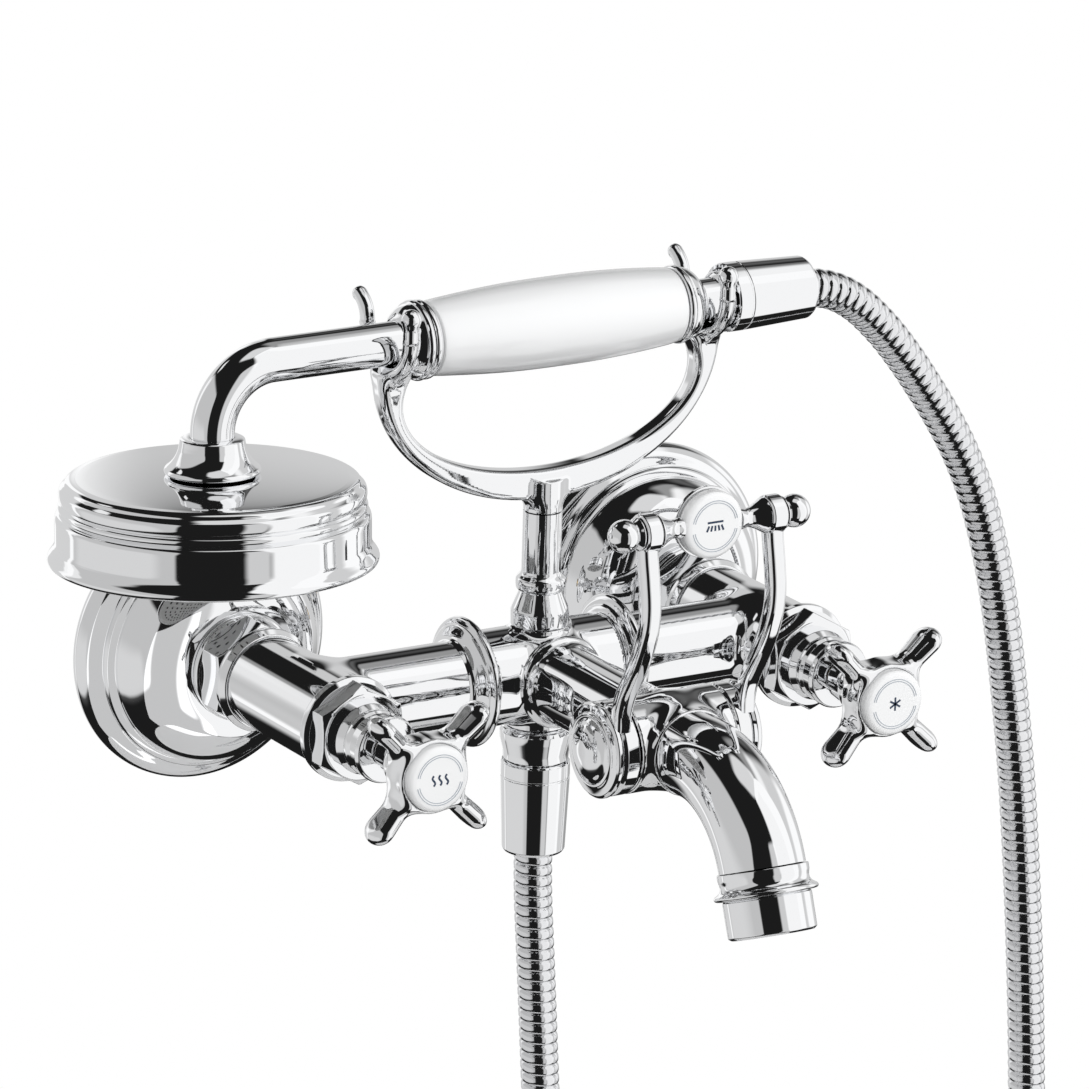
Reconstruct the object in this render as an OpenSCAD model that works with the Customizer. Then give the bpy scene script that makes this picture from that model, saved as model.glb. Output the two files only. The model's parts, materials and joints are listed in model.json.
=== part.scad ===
/* [Overall] */
// Distance between the two wall inlets
inlet_spacing = 188; // [180:1:196]
// Distance from the wall to the axis of the body bar
bar_out = 86.7; // [86:0.1:88]
// Distance from the wall to the axis of the diverter barrel
diverter_out = 173; // [172:0.5:174]
// Height of the hand shower's axis above the valve axes
handset_up = 129.8; // [129:0.1:131]

/* [Wall fittings] */
// Radius of the wall escutcheon at its rolled rim
escutcheon_r = 50.4; // [48:0.1:52]
// Distance from the wall to the flat top of the escutcheon
escutcheon_depth = 36; // [35:0.1:36]
// Wall thickness of the escutcheon
escutcheon_wall = 1.6; // [1.2:0.1:2]
// Radius of the G1/2 thread on the inlets, the outlet and the hand shower
thread_r = 10.48; // [10.4:0.01:10.5]
// Length of thread that goes into the wall
thread_len = 18; // [12:1:25]
// Radius over the corners of the union nuts
union_hex_r = 20.6; // [20:0.1:21]

/* [Valves] */
// Radius of the valve barrels
barrel_r = 17; // [16.5:0.1:17.5]
// Distance from the wall to the end of the valve barrels
barrel_end = 112; // [111:0.5:112]
// Radius of the flange on the bonnets
bonnet_flange_r = 19.2; // [18.8:0.1:19.6]
// Radius of the valve spindles
spindle_r = 5; // [4.9:0.01:5]
// Distance from the axis to the end of a handle arm
arm_reach = 32; // [29:0.5:36]
// Radius of the porcelain discs
disc_r = 12.1; // [11.8:0.1:12.1]

/* [Body] */
// Radius of the body bar
bar_r = 15.4; // [15:0.1:16]
// Radius of the middle of the body
middle_r = 17.5; // [17.2:0.1:17.8]
// Radius of the two collars on the body
collar_r = 23.6; // [23:0.1:24]
// Radius of the tube from the body to the diverter
neck_r = 14.5; // [14:0.1:15]
// Radius of the diverter barrel
diverter_r = 17; // [16.8:0.1:17.2]
// Half length of the diverter barrel
diverter_half = 19.5; // [19:0.1:19.5]

/* [Cradle] */
// Radius of the cradle pillar
pillar_r = 7.1; // [6.8:0.1:7.4]
// Distance from the middle to each cradle fork
fork_x = 65.5; // [65:0.1:66]
// Radius of the fork's round bar
fork_bar_r = 2.65; // [2.5:0.05:2.8]
// Radius of the fork's bend
fork_bend_r = 15.1; // [15:0.1:15.4]

/* [Hand shower] */
// Radius of the hand shower's pipe
pipe_r = 7.8; // [7.6:0.05:7.9]
// Radius of the pipe's elbow
elbow_r = 24; // [22:0.5:26]
// Distance from the middle to the shower head's axis
head_x = 136.5; // [134:0.5:139]
// Radius of the shower head's lip
head_r = 58; // [57:0.5:59]
// Angle by which the head leans forward in the cradle
head_lean = 3; // [0:0.5:5]
// Largest radius of the porcelain grip
grip_r = 16.1; // [15.5:0.1:16.5]

/* [Diverter] */
// Angle that the lever turns forward
lever_swing = 50; // [40:1:50]
// Distance from the shaft's axis to its crank pin
crank_r = 7; // [6.5:0.1:7]
// Distance from the wall to the lever's cross bar
lever_out = 196.8; // [196:0.1:198]
// Height of the lever's cross bar
lever_up = 85.6; // [85:0.1:87]

/* [Spout] */
// Radius of the spout tube
spout_r = 15.3; // [15:0.1:15.5]
// Radius of the spout's bend
spout_bend_r = 43; // [42:0.5:44]
// Angle of the spout's bend
spout_turn = 69; // [66:1:72]

/* [Hose] */
// Outer radius of the hose
hose_r = 7; // [6.5:0.1:7]

/* [Hidden] */
$fn = 72;
half = inlet_spacing / 2;
// Clearance of a running fit, and of a loose fit, measured on the radius
run = 0.06;
loose = 0.3;
// Gap left where the hand shower rests on the cradle
rest_gap = 0.3;
// Distances from the wall along each valve
union_end = 46;
washer_t = 1.8;
nut_back = escutcheon_depth + 0.3;
nut_lip = 50.6;
nut_front = 56.4;
tail_r = 13;
seat_out = 80;
cartridge_end = 98;
gland_out = 137.9;
gland_end = 141.2;
handle_back = 141.8;
handle_front = 173.4;
spindle_end = 156;
// Radii inside the valves
inlet_bore_r = 8;
cartridge_bore_r = 12;
ceramic_r = 9.6;
bar_bore_r = 9;
neck_bore_r = 8;
// Diverter barrel
cavity_r = 13.5;
cavity_half = 13.4;
shaft_r = 5;
bush_r = 9;
crank_start = lever_swing / 2;
pin_r = 2;
pin_out = crank_r * sin(crank_start);
pin_down = crank_r * cos(crank_start);
hub_in = diverter_half + 0.4;
hub_out = hub_in + 6.8;
cap_in = hub_out + 0.2;
disc_back = 194.8;
arm_x = 25.6;
// Spout
spout_root = 191.6;
spout_straight = 198;
spout_bore_r = 11;
spout_end_out = spout_straight + spout_bend_r * sin(spout_turn);
spout_end_up = -spout_bend_r * (1 - cos(spout_turn));
// Cradle
pillar_base = 17.8;
pillar_top = 60;
saddle_up = handset_up - pipe_r + fork_bend_r - fork_bar_r - rest_gap;
// Shower outlet and hose nuts
outlet_top = -20;
outlet_shoulder = -32.8;
outlet_end = -45;
tail_neck_r = 7;
nut_len = 34.4;
nut_gap = 0.8;
nipple_len = outlet_shoulder - outlet_end;
handset_shoulder = 72.3;
// The hose's route, from the hand shower down, round and up to the outlet
hose_top = handset_shoulder + nut_gap + nut_len;
hose_bottom = outlet_shoulder - nut_gap - nut_len;
hose_y = -bar_out;
route = [
    [hose_top, handset_up], [120, 126.8], [131, 120.6], [142, 110.5], [151.5, 99.5],
    [160.5, 87.5], [169.5, 74.5], [178, 60.5], [185.5, 45], [191.5, 28.5],
    [197, 9], [201.5, -12], [206, -38], [210.5, -68], [214.5, -102],
    [218, -138], [221, -176], [223.5, -220], [225, -265], [224.5, -310],
    [221, -355], [214, -400], [202, -442], [184, -478], [160, -504],
    [131, -518], [101, -517], [74, -502], [53, -476], [38, -441],
    [27, -400], [19, -355], [14, -308], [11, -260], [9, -215],
    [7, -175], [4.6, -140], [2.4, -110], [0.6, -86], [0, hose_bottom]
];

// ---- placing ----

// Local +Z leaves the wall along the valve on one side: -1 is hot, 1 is cold
module on_valve(side) {
    translate([side * half, 0, 0]) rotate([90, 0, 0]) children();
}

// Local +Z leaves the wall in the middle
module on_middle() {
    rotate([90, 0, 0]) children();
}

// Local +Z points to +X, at a distance from the wall and a height
module across(out, up) {
    translate([0, -out, up]) rotate([0, 90, 0]) children();
}

// Local +Z points up in the plane of the cradle
module on_pillar() {
    translate([0, -bar_out, 0]) children();
}

// Local X leaves the wall and local Y points up
module side_plane() {
    rotate([0, 0, -90]) rotate([90, 0, 0]) children();
}

// Local +Z follows the water out of the spout's end
module on_spout_end() {
    translate([0, -spout_end_out, spout_end_up]) rotate([90 + spout_turn, 0, 0]) children();
}

// Local +Z points down the shower head's leaning axis
module on_head() {
    translate([-head_x, -bar_out, handset_up]) rotate([-head_lean, 0, 0]) mirror([0, 0, 1]) children();
}

module ring(r_out, r_in, from, to) {
    translate([0, 0, from]) difference() {
        cylinder(r = r_out, h = to - from);
        translate([0, 0, -1]) cylinder(r = r_in, h = to - from + 2);
    }
}

module rod(r, from, to) {
    translate([0, 0, from]) cylinder(r = r, h = to - from);
}

module lathe(outline) {
    rotate_extrude() polygon(outline);
}

// ---- wall fittings ----

// The bell is a rolled rim, a groove, a ridge and a dome that closes on the union
module escutcheon(side) {
    dome_r = 40;
    dome_top_r = 20;
    dome_from = 17.5;
    dome_h = escutcheon_depth - dome_from;
    inner_h = dome_h - escutcheon_wall;
    steps = 8;
    dome = [for (i = [0:steps]) let (t = 90 * i / steps)
        [dome_top_r + (dome_r - dome_top_r) * cos(t), dome_from + dome_h * sin(t)]];
    inside = [for (i = [steps:-1:0]) let (t = 90 * i / steps)
        [dome_top_r + (dome_r - dome_top_r - escutcheon_wall) * cos(t), dome_from + inner_h * sin(t)]];
    rim = [[48.6, 0], [50, 2], [escutcheon_r, 5.5], [49.8, 8.4], [48, 10.9], [45.4, 12.2],
        [43.6, 12.6], [43.2, 14.4], [42.4, 15.9], [41.2, 16.5]];
    color("silver") on_valve(side) lathe(concat(rim, dome,
        [[15.4, escutcheon_depth], [15.4, escutcheon_depth - escutcheon_wall]], inside,
        [[42, 11.5], [46.8, 7.5], [46.8, 0]]));
}

// Threaded connectors that come out of the wall, open tubes all through
module inlet_unions() {
    color("goldenrod") for (side = [-1, 1]) on_valve(side) {
        difference() {
            union() {
                rod(thread_r, -thread_len, 0.5);
                rod(14.7, 0, union_end);
            }
            rod(7, -thread_len - 1, union_end + 1);
        }
    }
}

module union_washers() {
    color("dimgray") for (side = [-1, 1]) on_valve(side)
        ring(14.3, inlet_bore_r, union_end, union_end + washer_t);
}

module union_nut(side) {
    hex_from = 38.8;
    hex_to = 51.8;
    color("silver") on_valve(side) difference() {
        union() {
            lathe([[0, nut_back], [19.2, nut_back], [19.7, nut_back + 0.8], [19.7, 38.2],
                [19.2, hex_from], [0, hex_from]]);
            intersection() {
                rod(union_hex_r, hex_from, hex_to, $fn = 6);
                lathe([[0, hex_from], [18.2, hex_from], [union_hex_r, 40.2],
                    [union_hex_r, 50.4], [18.2, hex_to], [0, hex_to]]);
            }
            lathe([[0, hex_to], [18.6, hex_to], [19.2, 52.6], [19.2, 54], [18.4, 55.4],
                [17.4, nut_front], [0, nut_front]]);
        }
        rod(15, nut_back - 1, nut_lip);
        rod(tail_r + loose, nut_lip - 1, nut_front + 1);
    }
}

// ---- body ----

// Half of a collar's outline, from the middle of the body outwards
module collar(sign) {
    outline = [[middle_r - 4, 26.6], [19.2, 26.8], [20.2, 27.5], [20.6, 28.5], [22.7, 28.9],
        [collar_r, 29.8], [collar_r, 31.2], [22.8, 32.1], [21, 32.6], [18.4, 33.6],
        [16.4, 35], [bar_r - 0.4, 37], [bar_r - 4, 37]];
    mirror([0, 0, sign < 0 ? 1 : 0]) lathe(outline);
}

module body_solid() {
    for (side = [-1, 1]) on_valve(side) {
        rod(14.6, union_end + washer_t, nut_lip - loose);
        rod(tail_r, union_end + washer_t, 58);
        rod(barrel_r, nut_front + loose, barrel_end);
    }
    across(bar_out, 0) {
        rod(bar_r, -half, half);
        rod(middle_r, -26.7, 26.7);
        for (sign = [-1, 1]) collar(sign);
    }
    on_middle() {
        rod(neck_r, bar_out, diverter_out);
        lathe([[0, bar_out], [middle_r - 0.3, bar_out], [17, 103.4], [15.6, 105.6], [neck_r, 109], [0, 109]]);
        lathe([[0, diverter_out], [15.6, diverter_out], [15.6, 187], [16.6, 187.6], [16.9, 189.2],
            [16.6, 190.8], [15.8, spout_root - 0.2], [0, spout_root - 0.2]]);
    }
    across(diverter_out, 0) rod(diverter_r, -diverter_half, diverter_half);
    on_pillar() {
        rod(10.5, 0, pillar_base - 0.1);
        rod(4.7, 0, 26);
        rod(11.6, outlet_top, 0);
    }
}

module mixer_body() {
    color("silver") difference() {
        body_solid();
        for (side = [-1, 1]) on_valve(side) {
            rod(inlet_bore_r, 40, barrel_end);
            rod(cartridge_bore_r, seat_out, barrel_end + 1);
        }
        across(bar_out, 0) rod(bar_bore_r, -half + 6, half - 6);
        on_middle() rod(neck_bore_r, bar_out, spout_root + 1);
        across(diverter_out, 0) {
            rod(cavity_r, -cavity_half, cavity_half);
            rod(bush_r, -diverter_half - 1, diverter_half + 1);
        }
        on_pillar() rod(8.2, outlet_top - 1, 0);
    }
}

// ---- valve insides ----

// Brass sleeve that holds the ceramic discs, with a port towards the body bar
module cartridge_sleeves() {
    color("goldenrod") for (side = [-1, 1]) on_valve(side) difference() {
        rod(cartridge_bore_r - 0.1, seat_out, cartridge_end);
        rod(ceramic_r + 0.4, seat_out - 1, 91);
        rod(spindle_r + run, 90, cartridge_end + 1);
        translate([0, 0, bar_out]) rotate([0, -side * 90, 0]) rod(4, 0, 20);
    }
}

module fixed_ceramic_discs() {
    color("whitesmoke") for (side = [-1, 1]) on_valve(side) difference() {
        rod(ceramic_r, seat_out, seat_out + 3);
        for (x = [-4.4, 4.4]) translate([x, 0, 0]) rod(2.6, seat_out - 1, seat_out + 4);
    }
}

module turning_disc(side) {
    from = seat_out + 3.05;
    color("white") on_valve(side) difference() {
        rod(ceramic_r, from, from + 3);
        for (x = [-4.4, 4.4]) translate([x, 0, 0]) rod(2.6, from - 1, from + 4);
    }
}

module spindle(side) {
    foot = seat_out + 6.05;
    color("goldenrod") on_valve(side) difference() {
        union() {
            rod(8.6, foot, foot + 3.6);
            rod(spindle_r, foot, spindle_end);
        }
        rod(2.1, spindle_end - 16, spindle_end + 1);
    }
}

module bonnet(side) {
    hex_from = 116;
    hex_to = 124;
    hex_r = 18.6;
    color("silver") on_valve(side) difference() {
        union() {
            rod(cartridge_bore_r - loose, cartridge_end + 0.2, 113);
            lathe([[0, barrel_end], [18.6, barrel_end], [bonnet_flange_r, 112.8], [bonnet_flange_r, 115],
                [18.4, hex_from], [0, hex_from]]);
            intersection() {
                rod(hex_r, hex_from, hex_to, $fn = 6);
                lathe([[0, hex_from], [hex_r, hex_from], [hex_r, 122.6], [16.2, hex_to], [0, hex_to]]);
            }
            lathe([[0, hex_to], [13, hex_to], [13, 127.4], [12.2, 128.8], [11.5, 130], [12, 131],
                [11.9, 132.4], [11.2, 133.4], [11.2, gland_out - 0.2], [0, gland_out - 0.2]]);
        }
        rod(spindle_r + run, 90, 145);
    }
}

module gland_nuts() {
    color("silver") for (side = [-1, 1]) on_valve(side) difference() {
        lathe([[0, gland_out], [11.6, gland_out], [12.4, 138.7], [12.5, 139.8], [12, 140.7],
            [10.8, gland_end], [0, gland_end]]);
        rod(spindle_r + loose, 130, 145);
    }
}

// ---- handles ----

module handle_arm(angle) {
    width_r = 3.6;
    rotate([0, 0, angle]) hull() {
        translate([9, 0, 0]) rod(width_r + 0.6, 160.5, 170.5, $fn = 24);
        translate([arm_reach - width_r, 0, 0]) rod(width_r, 161.5, 174.5, $fn = 24);
    }
}

module cross_handle(side) {
    color("silver") on_valve(side) difference() {
        union() {
            lathe([[0, handle_back], [6.1, handle_back], [6.1, 149], [8.6, 150.6], [9.8, 153], [10.4, 157],
                [11.6, 161], [13.2, 164.4], [13.6, 167], [13.6, 172.4], [13.1, handle_front], [0, handle_front]]);
            for (i = [0:3]) handle_arm(45 + 90 * i);
        }
        rod(spindle_r + 0.02, handle_back - 1, spindle_end + 0.5);
        rod(2.4, 150, 170);
        rod(4.9, 165.4, 180);
        rod(disc_r + 0.1, 171.4, 180);
    }
}

module handle_screw(side) {
    color("dimgray") on_valve(side) difference() {
        union() {
            rod(2, spindle_end - 14, 166);
            rod(4.6, 165.5, 169);
        }
        rod(1.6, 166.8, 170, $fn = 6);
    }
}

// Porcelain disc with a softly domed face
module index_disc_outline(r, back) {
    lathe([[0, back], [r - 1.2, back], [r - 0.4, back + 0.4], [r, back + 1.2], [r, back + 3.6],
        [r - 0.4, back + 4.6], [r - 1.6, back + 5.2], [0, back + 5.5]]);
}

module index_disc(side) {
    color("white") on_valve(side) index_disc_outline(disc_r, 171.5);
}

// ---- cradle ----

module cradle_pillar() {
    color("silver") on_pillar() difference() {
        lathe([[0, pillar_base], [10.5, pillar_base], [10.6, 22.4], [10.2, 24], [9, 26.6], [8, 29.2],
            [7.7, 30.4], [8.8, 31.2], [9.1, 33.2], [8.8, 35.2], [7.7, 36], [pillar_r, 36.6],
            [pillar_r, pillar_top], [0, pillar_top]]);
        rod(4.9, pillar_base - 1, pillar_top + 1);
    }
}

// Crescent between an outer and an inner ellipse, thickest where it meets the pillar
module crescent() {
    steps = 20;
    outer = [for (i = [0:steps]) let (t = 180 + 180 * i / steps) [70.4 * cos(t), 118 + 53 * sin(t)]];
    inner = [for (i = [steps:-1:0]) let (t = 180 + 180 * i / steps) [60.6 * cos(t), 107.2 + 31 * sin(t)]];
    top = [[69, 119.6], [62, 119.6]];
    translate([0, 4.5, 0]) rotate([90, 0, 0]) linear_extrude(9)
        polygon(concat(outer, top, inner, [[-62, 119.6], [-69, 119.6]]));
}

module fork(x) {
    bend_to = saddle_up;
    curl_r = 4;
    translate([x, 0, bend_to]) {
        rotate([90, 0, 90]) rotate([0, 0, 180]) rotate_extrude(angle = 180)
            translate([fork_bend_r, 0]) circle(fork_bar_r);
        translate([0, -fork_bend_r, 0]) {
            rod(fork_bar_r, 0, 142.3 - bend_to);
            translate([0, 0, 142.5 - bend_to]) sphere(3.6);
        }
        translate([0, fork_bend_r, 0]) {
            rod(fork_bar_r, 0, 140.8 - bend_to);
            translate([0, curl_r, 140.5 - bend_to]) rotate([90, 0, 90]) rotate([0, 0, 50])
                rotate_extrude(angle = 130) translate([curl_r, 0]) circle(fork_bar_r - 0.25);
        }
    }
}

module cradle() {
    color("silver") on_pillar() {
        rod(4.8, pillar_top - 12, pillar_top + 6);
        rod(pillar_r, pillar_top + 0.1, 68);
        crescent();
        for (sign = [-1, 1]) fork(sign * fork_x);
    }
}

// ---- shower outlet ----

module shower_outlet() {
    color("silver") on_pillar() difference() {
        union() {
            rod(7.9, outlet_top - 1, outlet_top + 8);
            lathe([[0, outlet_shoulder], [12.1, outlet_shoulder], [12.5, -30], [13.2, -26.4], [13.3, -24.6],
                [12.6, -22.6], [11.6, outlet_top - 0.1], [0, outlet_top - 0.1]]);
            rod(thread_r, outlet_end, outlet_shoulder + 1);
        }
        rod(6.5, outlet_end - 1, outlet_top + 9);
    }
}

// Plastic cage with a seat that the poppet closes against
module check_valve_body() {
    color("white") on_pillar() difference() {
        rod(6.4, -44, -24);
        rod(3, -45, -20);
        rod(5.2, -41, -27);
    }
}

module check_poppet() {
    color("ivory") on_pillar() {
        rod(4.4, -31, -29.4);
        rod(1.4, -40, -30);
    }
}

// The spring is drawn as the sleeve that its turns fill
module check_spring() {
    color("gray") on_pillar() ring(2.9, 2.1, -40.9, -31.1);
}

// ---- hose fittings ----

// Along local Z the nut starts at its open end and narrows to the hose
module nut_outline() {
    color("silver") difference() {
        lathe([[0, 0], [11.4, 0], [11.9, 0.6], [12, 3], [11.9, 5.6], [11.4, 6.2], [11.4, 6.8],
            [11.9, 7.4], [11.7, 12], [10.7, 30], [10.3, 31.6], [9.3, 33.4], [7.8, nut_len], [0, nut_len]]);
        rod(thread_r + loose, -1, nipple_len + 3.6);
        rod(tail_neck_r + run, nipple_len, nut_len + 1);
    }
}

module tail_outline() {
    from = nipple_len - nut_gap + washer_t;
    color("goldenrod") difference() {
        union() {
            rod(10.2, from, from + 2);
            rod(tail_neck_r, from, nut_len);
        }
        rod(4.4, from - 1, nut_len + 1);
    }
}

module washer_outline() {
    from = nipple_len - nut_gap;
    color("dimgray") ring(10.2, 5.5, from, from + washer_t);
}

module at_lower_nut() {
    on_pillar() translate([0, 0, outlet_shoulder - nut_gap]) mirror([0, 0, 1]) children();
}

module at_upper_nut() {
    across(bar_out, handset_up) translate([0, 0, handset_shoulder + nut_gap]) children();
}

module hose_nut_lower() { at_lower_nut() nut_outline(); }
module hose_tail_lower() { at_lower_nut() tail_outline(); }
module hose_washer_lower() { at_lower_nut() washer_outline(); }
module hose_nut_upper() { at_upper_nut() nut_outline(); }
module hose_tail_upper() { at_upper_nut() tail_outline(); }
module hose_washer_upper() { at_upper_nut() washer_outline(); }

// A tube swept along the route, with one ring of points at each bend point
module hose() {
    sides = 10;
    last = len(route) - 1;
    function tangent(i) =
        i == 0 ? [1, 0] :
        i == last ? [0, 1] :
        let (d = route[i + 1] - route[i - 1]) d / norm(d);
    points = [for (i = [0:last], k = [0:sides - 1])
        let (t = tangent(i), a = 360 * k / sides, side = hose_r * cos(a))
        [route[i][0] - t[1] * side, hose_y + hose_r * sin(a), route[i][1] + t[0] * side]];
    walls = [for (i = [0:last - 1], k = [0:sides - 1])
        let (a = i * sides + k, b = i * sides + (k + 1) % sides)
        [a, a + sides, b + sides, b]];
    start = [for (k = [0:sides - 1]) k];
    end = [for (k = [sides - 1:-1:0]) last * sides + k];
    color("gainsboro") polyhedron(points, concat(walls, [start], [end]));
}

// ---- hand shower ----

module pipe_path(r) {
    translate([0, -bar_out, handset_up]) rotate([-head_lean, 0, 0]) {
        rotate([0, 90, 0]) rod(r, -head_x + elbow_r, -50);
        translate([-head_x + elbow_r, 0, -elbow_r]) rotate([90, 0, 0]) rotate([0, 0, 90])
            rotate_extrude(angle = 90) translate([elbow_r, 0]) circle(r);
        translate([-head_x, 0, 0]) rod(r, -37, -elbow_r);
    }
}

module handset_pipe() {
    color("silver") difference() {
        pipe_path(pipe_r);
        pipe_path(6);
    }
}

module head_collar() {
    color("silver") on_head() difference() {
        lathe([[0, 24.6], [10.2, 24.6], [11.2, 25.2], [11.6, 26.4], [12, 28.6], [13, 31.2], [14.8, 33.6],
            [16.6, 35.2], [16.8, 36], [16.4, 36.8], [14.6, 37.6], [14, 37.7], [0, 37.7]]);
        rod(pipe_r + 0.05, 20, 40);
    }
}

// A shallow pan with beads round its side and a flared lip
module head_shell() {
    wall = 1.6;
    color("silver") on_head() difference() {
        union() {
            difference() {
                lathe([[0, 37.8], [30, 38], [48, 38.6], [50.6, 39], [51.8, 40], [52.4, 41.6], [53.4, 42.8],
                    [53.8, 44.6], [53.4, 46.4], [52.8, 47.2], [53.6, 48], [54, 49], [53.6, 50], [53.9, 50.8],
                    [54.9, 51.6], [55.2, 53], [55.2, 61.4], [55.6, 62.8], [56.8, 64.6], [57.7, 66],
                    [head_r, 67.2], [57.8, 68.4], [57, 69], [0, 69]]);
                lathe([[0, 37.8 + wall], [30, 38 + wall], [48, 38.8 + wall], [50, 42], [51.4, 48],
                    [53.5, 53], [53.5, 70], [0, 70]]);
            }
            rod(10, 39, 46);
        }
        rod(6.2, 30, 50);
    }
}

nozzle_rings = [[0, 1], [10, 6], [20, 12], [30, 18], [40, 24]];

module at_nozzles() {
    for (item = nozzle_rings, k = [0:item[1] - 1])
        rotate([0, 0, 360 * k / item[1]]) translate([item[0], 0, 0]) children();
}

module spray_plate() {
    color("gainsboro") on_head() difference() {
        rod(53.3, 62, 64.4);
        at_nozzles() rod(1.5, 60, 66, $fn = 24);
    }
}

module spray_nozzles() {
    color("dimgray") on_head() at_nozzles() difference() {
        rod(1.4, 61.6, 66, $fn = 24);
        rod(0.6, 60, 67, $fn = 16);
    }
}

module ferrule_left() {
    color("silver") across(bar_out, handset_up) difference() {
        lathe([[0, -62], [8.6, -62], [9.2, -61.4], [10.6, -59], [12.4, -56], [13.5, -54], [14.3, -53.2],
            [14.5, -52.4], [14.2, -51.5], [13.5, -51], [13.9, -50.4], [14.2, -49.4], [13.9, -48.2],
            [13.2, -47.2], [0, -47.2]]);
        rod(pipe_r + 0.05, -63, -46);
    }
}

module handset_grip() {
    from = -47;
    to = 51.2;
    steps = 14;
    side = [for (i = [0:steps]) let (t = i / steps)
        [13 + (grip_r - 13) * pow(sin(180 * t), 0.8), from + 0.8 + (to - from - 1.6) * t]];
    color("white") across(bar_out, handset_up) difference() {
        lathe(concat([[0, from], [12.4, from]], side, [[12.4, to], [0, to]]));
        rod(6.2, from - 1, to + 1);
    }
}

module ferrule_right() {
    color("silver") across(bar_out, handset_up) difference() {
        lathe([[0, 51.4], [13.2, 51.4], [13.9, 52], [14.2, 53], [13.9, 54], [13.5, 54.6], [13.2, 56],
            [12.2, 58], [10.8, 59.6], [9.4, 60.8], [8.4, 61.3], [0, 61.3]]);
        rod(6.1, 50, 62);
    }
}

// Brass tube that carries the water and the load through the porcelain grip
module handset_core() {
    color("goldenrod") across(bar_out, handset_up) ring(5.9, 4.5, -60, 61.2);
}

module handset_tail() {
    end = handset_shoulder + nipple_len;
    color("silver") across(bar_out, handset_up) difference() {
        lathe([[0, 61.4], [8.6, 61.4], [pipe_r, 62.2], [pipe_r, 68.8], [9.4, 69.6], [9.8, 70.6],
            [9.8, 71.6], [9.2, handset_shoulder], [thread_r, handset_shoulder], [thread_r, end], [0, end]]);
        rod(4.4, 60, end + 1);
    }
}

// ---- spout ----

// Short straight shank that screws into the barrel's boss
module spout_shank() {
    color("silver") on_middle() ring(spout_r, spout_bore_r, spout_root, spout_straight);
}

module spout_tube() {
    color("silver") side_plane() translate([spout_straight, -spout_bend_r, 0])
        rotate([0, 0, 90 - spout_turn]) difference() {
            rotate_extrude(angle = spout_turn) translate([spout_bend_r, 0]) circle(spout_r);
            rotate_extrude(angle = spout_turn) translate([spout_bend_r, 0]) circle(spout_bore_r);
        }
}

// Flared ring, with the spigot that the aerator housing fits over
module spout_ring() {
    color("silver") on_spout_end() difference() {
        lathe([[0, 0], [15.2, 0], [15.5, 0.8], [15.6, 3], [16.2, 5.2], [17.4, 7], [18.2, 7.9],
            [18.3, 8.5], [17.8, 9.1], [16, 9.5], [12.7, 9.5], [12.7, 16], [0, 16]]);
        rod(spout_bore_r, -1, 17);
    }
}

module aerator_housing() {
    color("silver") on_spout_end() difference() {
        lathe([[0, 9.7], [15.3, 9.7], [15.7, 10.2], [15.6, 22.8], [15.1, 23.4], [0, 23.4]]);
        rod(12.9, 9, 16.3);
        rod(11.2, 16, 24);
    }
}

module aerator_insert() {
    holes = 12;
    color("white") on_spout_end() difference() {
        lathe([[0, 15], [10.6, 15], [10.6, 16.3], [10.9, 16.3], [10.9, 22.4], [0, 22.4]]);
        for (k = [0:holes - 1]) rotate([0, 0, 360 * k / holes]) translate([7, 0, 0])
            rod(1.2, 14, 24, $fn = 24);
    }
}

// ---- diverter ----

// Two stub shafts joined by cheeks and an off-centre pin
module diverter_shaft() {
    cheek_from = 3.4;
    cheek_to = 6;
    end = 28;
    color("goldenrod") across(diverter_out, 0) {
        for (sign = [0, 1]) mirror([0, 0, sign]) {
            rod(shaft_r, cheek_from, end);
            rod(10, cheek_from, cheek_to);
        }
        translate([pin_down, -pin_out, 0]) rod(pin_r, -cheek_from - 1, cheek_from + 1);
    }
}

module diverter_bushes() {
    groove_at = 16.6;
    color("peru") across(diverter_out, 0) for (sign = [0, 1]) mirror([0, 0, sign]) difference() {
        rod(bush_r - 0.05, cavity_half + 0.2, diverter_half);
        rod(shaft_r + run, cavity_half - 1, diverter_half + 1);
        rod(7.4, groove_at - 1.2, groove_at + 1.2);
    }
}

module shaft_seals() {
    color("dimgray") across(diverter_out, 0) for (z = [-16.6, 16.6]) translate([0, 0, z])
        rotate_extrude() translate([6.15, 0]) circle(1);
}

// The rod's yoke straddles the crank pin, and slides the washer in the body
module diverter_rod() {
    yoke_out = diverter_out + pin_out;
    slot = pin_r + 0.4;
    color("goldenrod") {
        on_middle() rod(2.5, 96, yoke_out - 3);
        difference() {
            translate([-2.5, -yoke_out - 4.2, -10]) cube([5, 8.4, 12.5]);
            translate([-4, -yoke_out - slot, -12]) cube([8, 2 * slot, 12 - pin_down + pin_r + 0.8]);
        }
    }
}

module diverter_washer() {
    color("dimgray") on_middle() ring(7.3, 1.5, 92, 95.9);
}

// S-shaped arm outline in the side plane, from the hub up to the cross bar
arm_line = [[176.5, 11], [180.5, 17], [185, 23.5], [190, 30], [194.4, 37], [197.8, 44.5],
    [200.2, 52], [200.8, 60], [199.6, 68.5], [197.9, 77], [lever_out, lever_up]];

module arm_outline() {
    last = len(arm_line) - 1;
    function across_arm(i) =
        let (d = arm_line[min(i + 1, last)] - arm_line[max(i - 1, 0)], n = [-d[1], d[0]] / norm(d))
        n * (2.6 + 0.8 * i / last);
    polygon(concat([for (i = [0:last]) arm_line[i] + across_arm(i)],
        [for (i = [last:-1:0]) arm_line[i] - across_arm(i)]));
}

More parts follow.
